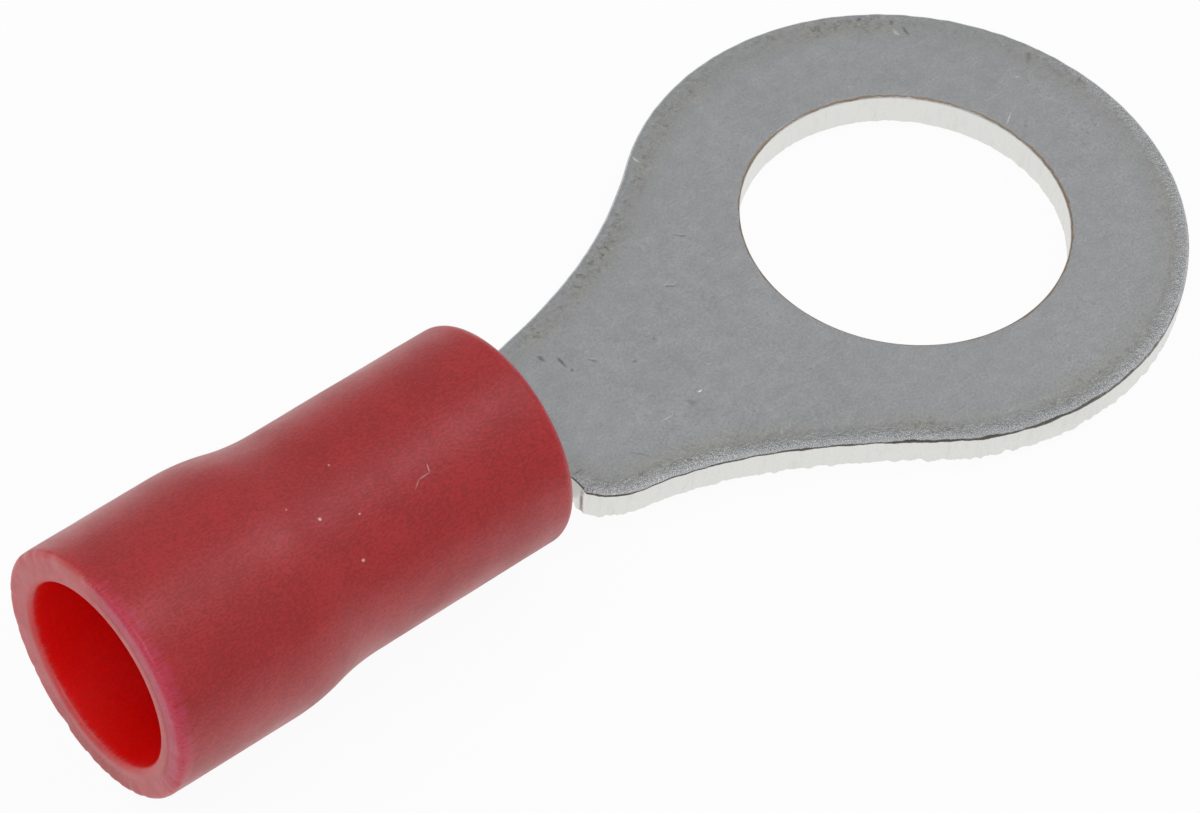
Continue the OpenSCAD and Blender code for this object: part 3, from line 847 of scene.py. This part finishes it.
def makeSleeve(material):
    s = sleeve
    outer = s["boreRadius"] + s["wall"]
    rise = s["entryRadius"] - s["boreRadius"]
    half = s["stepLength"] / 2
    arcR = (s["stepLength"] ** 2 + rise ** 2) / (4 * rise)
    bank = math.degrees(math.asin(half / arcR))
    backX = s["frontX"] - s["length"]
    stepBackX = backX + s["entryLength"]
    stepFrontX = stepBackX + s["stepLength"]
    entryOuter = s["entryRadius"] + s["wall"]
    fr = s["frontRound"]
    er = s["entryRound"]
    z0 = s["axisZ"]
    across = Vector((0, 1, 0))

    def runs(length, spacing):
        return max(1, round(abs(length) / spacing))

    bm = bmesh.new()
    cutLayer = bm.verts.layers.float.new("cutEnd")
    glowLayer = bm.verts.layers.float.new("rimGlow")
    boreLayer = bm.verts.layers.float.new("bore")
    aroundLayer = bm.verts.layers.float.new("around")
    v = bm.verts.new((s["frontX"], 0, z0 + s["boreRadius"]))
    v = drawLine(bm, v, (0, 0, s["wall"] - fr), s["faceSegments"])
    v = drawArc(bm, v, (s["frontX"] - fr, 0, z0 + outer - fr), across, -90, s["frontSegments"])
    long = stepFrontX - (s["frontX"] - fr)
    v = drawLine(bm, v, (long, 0, 0), runs(long, s["rowSpacing"]))
    v = drawArc(bm, v, (stepFrontX, 0, z0 + outer + arcR), across, bank, s["stepSegments"])
    v = drawArc(bm, v, (stepBackX, 0, z0 + entryOuter - arcR), across, -bank, s["stepSegments"])
    long = backX + er - stepBackX
    v = drawLine(bm, v, (long, 0, 0), runs(long, s["rowSpacing"]))
    v = drawArc(bm, v, (backX + er, 0, z0 + entryOuter - er), across, -90, s["rimSegments"])
    v = drawLine(bm, v, (0, 0, 2 * er - s["wall"]), s["cutSegments"])
    v = drawArc(bm, v, (backX + er, 0, z0 + s["entryRadius"] + er), across, -90, s["rimSegments"])
    v = drawLine(bm, v, (-long, 0, 0), runs(long, s["boreSpacing"]))
    v = drawArc(bm, v, (stepBackX, 0, z0 + s["entryRadius"] - arcR), across, bank,
                s["innerSegments"])
    v = drawArc(bm, v, (stepFrontX, 0, z0 + s["boreRadius"] + arcR), across, -bank,
                s["innerSegments"])
    long = s["frontX"] - stepFrontX
    drawLine(bm, v, (long, 0, 0), runs(long, s["boreSpacing"]))
    bmesh.ops.remove_doubles(bm, verts=bm.verts[:], dist=weldDistance)
    bmesh.ops.spin(bm, geom=bm.verts[:] + bm.edges[:], cent=(0, 0, z0), axis=(1, 0, 0),
                   dvec=(0, 0, 0), angle=math.tau, steps=s["spinSteps"], use_merge=True,
                   use_duplicate=False)
    bmesh.ops.remove_doubles(bm, verts=bm.verts[:], dist=weldDistance)

    axisSpot = Vector((0, 0, z0))
    for v in bm.verts:
        radial = Vector((0, v.co.y, v.co.z - z0))
        r = radial.length
        radial.normalize()
        fromBack = v.co.x - backX
        fromFront = s["frontX"] - v.co.x
        middle = s["boreRadius"] + s["wall"] / 2
        if fromBack < stepBackX - backX:
            middle = s["entryRadius"] + s["wall"] / 2
        isEnd = fromBack < weldDistance or fromFront < weldDistance
        v[cutLayer] = 1 if isEnd else 0
        if fromBack < er + weldDistance and not isEnd:
            v[cutLayer] = 1 - smoothStep(0, er, fromBack)
        nearRim = max(1 - fromBack / s["streakReach"], 1 - fromFront / (s["streakReach"] * 0.4))
        v[glowLayer] = max(0, nearRim) if r > middle else 0
        v[boreLayer] = 0 if r > middle or isEnd else 1
        v[aroundLayer] = math.atan2(v.co.y, v.co.z - z0) * r
        # At the entry the cut is pale over its whole width at the far upper side, and less
        # so in its outer part at the near side, where it tore with the rim.
        if fromBack < s["cutFade"] and r < middle and not isEnd:
            v[cutLayer] = 0.6 - 0.6 * smoothStep(0, s["cutFade"], fromBack)
        near = smoothStep(-0.45, 0.25, -radial.y) * smoothStep(-0.75, -0.1, radial.z)
        v[glowLayer] *= 0.25 + 0.75 * near
        if fromBack < er + weldDistance:
            low = smoothStep(0.4, 1, -radial.z)
            outerPart = smoothStep(0.2, 0.45, (r - s["entryRadius"]) / s["wall"])
            v[cutLayer] *= 1 - outerPart * max(0.8 * near, 0.6 * low)
            v[glowLayer] *= 0.8 * outerPart
        skin = noise.noise(v.co * s["skinScale"])
        skin += 0.35 * noise.noise(v.co * s["fineSkinScale"])
        spread = s["wave"] * min(1, max(0, 0.5 + 0.5 * skin))
        if r > middle:
            v.co -= radial * spread
        # The blade pressed the entry's far lower rim back before it broke through.
        pressed = max(0, radial.y - radial.z) / math.sqrt(2)
        if fromBack < s["pressDepth"]:
            v.co.x += s["press"] * pressed ** 2 * (1 - fromBack / s["pressDepth"])
        if fromBack < er * 1.5:
            torn = noise.noise(radial * s["tornScale"])
            torn += 0.5 * noise.noise(radial * s["fineTornScale"])
            tear = s["nick"] * max(0, torn) * (1 - smoothStep(0, er * 1.5, fromBack))
            tear *= smoothStep(0.35, 1, (r - s["entryRadius"]) / s["wall"])
            v.co.x += tear * 0.6
            v.co -= radial * tear * 0.5 * (1 if r > middle else -1)
    return finishPiece(bm, "pvcSleeve", material, 50)


tinnedTerminal = makeTerminal(makeTin())
pvcSleeve = makeSleeve(makePvc())
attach(tinnedTerminal, "root")
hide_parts("terminal")
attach(pvcSleeve, "root")
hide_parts("insulating_sleeve")

# The part rests on the tip of its ring and on its sleeve, where the wire entry's step starts.
studio = {
    "floorSize": 3.0,                # m
    "floorColour": "#F8F8F8",
    "backdropShare": 0.94,           # how much of the floor's white is free of shadow
    "sky": 0.45,
    "lampAim": (-7, 0, 1),           # mm
    "boxes": {
        "keyBox": {"spot": (-0.22, -0.20, 0.34), "size": 0.22, "level": 2.2,
                   "colour": (1, 1, 1)},
        "topBox": {"spot": (-0.20, 0.16, 0.34), "size": 0.24, "level": 0.95,
                   "colour": (1, 1, 1)},
        "bandBox": {"spot": (0.234, -0.077, 0.377), "size": 0.14, "level": 3.8,
                    "colour": (0.97, 0.99, 1.04)},
    },
}


def makeStudio():
    s = studio
    rise = sleeve["entryRadius"] - sleeve["boreRadius"]
    arcR = (sleeve["stepLength"] ** 2 + rise ** 2) / (4 * rise)
    stepBackX = sleeve["frontX"] - sleeve["length"] + sleeve["entryLength"]
    arcMiddle = sleeve["axisZ"] - sleeve["entryRadius"] - sleeve["wall"] + arcR
    back = blank["ringRadius"] - stepBackX
    up = arcMiddle + blank["burr"]
    tilt = math.asin(arcR / math.hypot(back, up)) - math.atan2(up, back)
    bm = bmesh.new()
    bmesh.ops.create_grid(bm, x_segments=1, y_segments=1, size=s["floorSize"] / 2)
    bmesh.ops.rotate(bm, cent=(0, 0, 0), matrix=Matrix.Rotation(-tilt, 3, "Y"), verts=bm.verts[:])
    under = Vector((blank["ringRadius"], 0, -blank["burr"])) * metresPerMm
    bmesh.ops.translate(bm, vec=under, verts=bm.verts[:])
    mesh = bpy.data.meshes.new("floor")
    bm.to_mesh(mesh)
    bm.free()
    floor = bpy.data.objects.new("floor", mesh)
    bpy.context.scene.collection.objects.link(floor)
    material, tree = newMaterial("whiteSweep")
    rays = addNode(tree, "ShaderNodeLightPath")
    seen = addNode(tree, "ShaderNodeMath", {"operation": "MAXIMUM"},
                   {0: rays.outputs["Is Camera Ray"], 1: rays.outputs["Is Glossy Ray"]})
    seenToo = addNode(tree, "ShaderNodeMath", {"operation": "MAXIMUM"},
                      {0: seen.outputs[0], 1: rays.outputs["Is Transmission Ray"]})
    share = addNode(tree, "ShaderNodeMath", {"operation": "MULTIPLY", 1: s["backdropShare"]},
                    {0: seenToo.outputs[0]})
    matte = addNode(tree, "ShaderNodeBsdfDiffuse", {"Color": linearColour(s["floorColour"])})
    white = addNode(tree, "ShaderNodeEmission", {"Strength": 1})
    both = addNode(tree, "ShaderNodeMixShader", {},
                   {0: share.outputs[0], 1: matte.outputs[0], 2: white.outputs[0]})
    addNode(tree, "ShaderNodeOutputMaterial", {}, {"Surface": both.outputs[0]})
    mesh.materials.append(material)

    world = bpy.data.worlds.new("studioSky")
    bpy.context.scene.world = world
    world.use_nodes = True
    sky = world.node_tree.nodes["Background"]
    sky.inputs["Color"].default_value = (s["sky"],) * 3 + (1,)
    sky.inputs["Strength"].default_value = 1
    for name, box in s["boxes"].items():
        lamp = bpy.data.lights.new(name, "AREA")
        lamp.shape = "SQUARE"
        lamp.size = box["size"]
        lamp.energy = box["level"] * math.pi * box["size"] ** 2
        lamp.color = box["colour"]
        holder = bpy.data.objects.new(name, lamp)
        bpy.context.scene.collection.objects.link(holder)
        spot = Vector(box["spot"])
        aim = Vector(s["lampAim"]) * metresPerMm
        turn = (aim - spot).to_track_quat("-Z", "Y").to_matrix().to_4x4()
        holder.matrix_world = Matrix.Translation(spot) @ turn
    print("studio set, floor tilt", round(math.degrees(tilt), 2))


makeStudio()
bpy.context.view_layer.update()
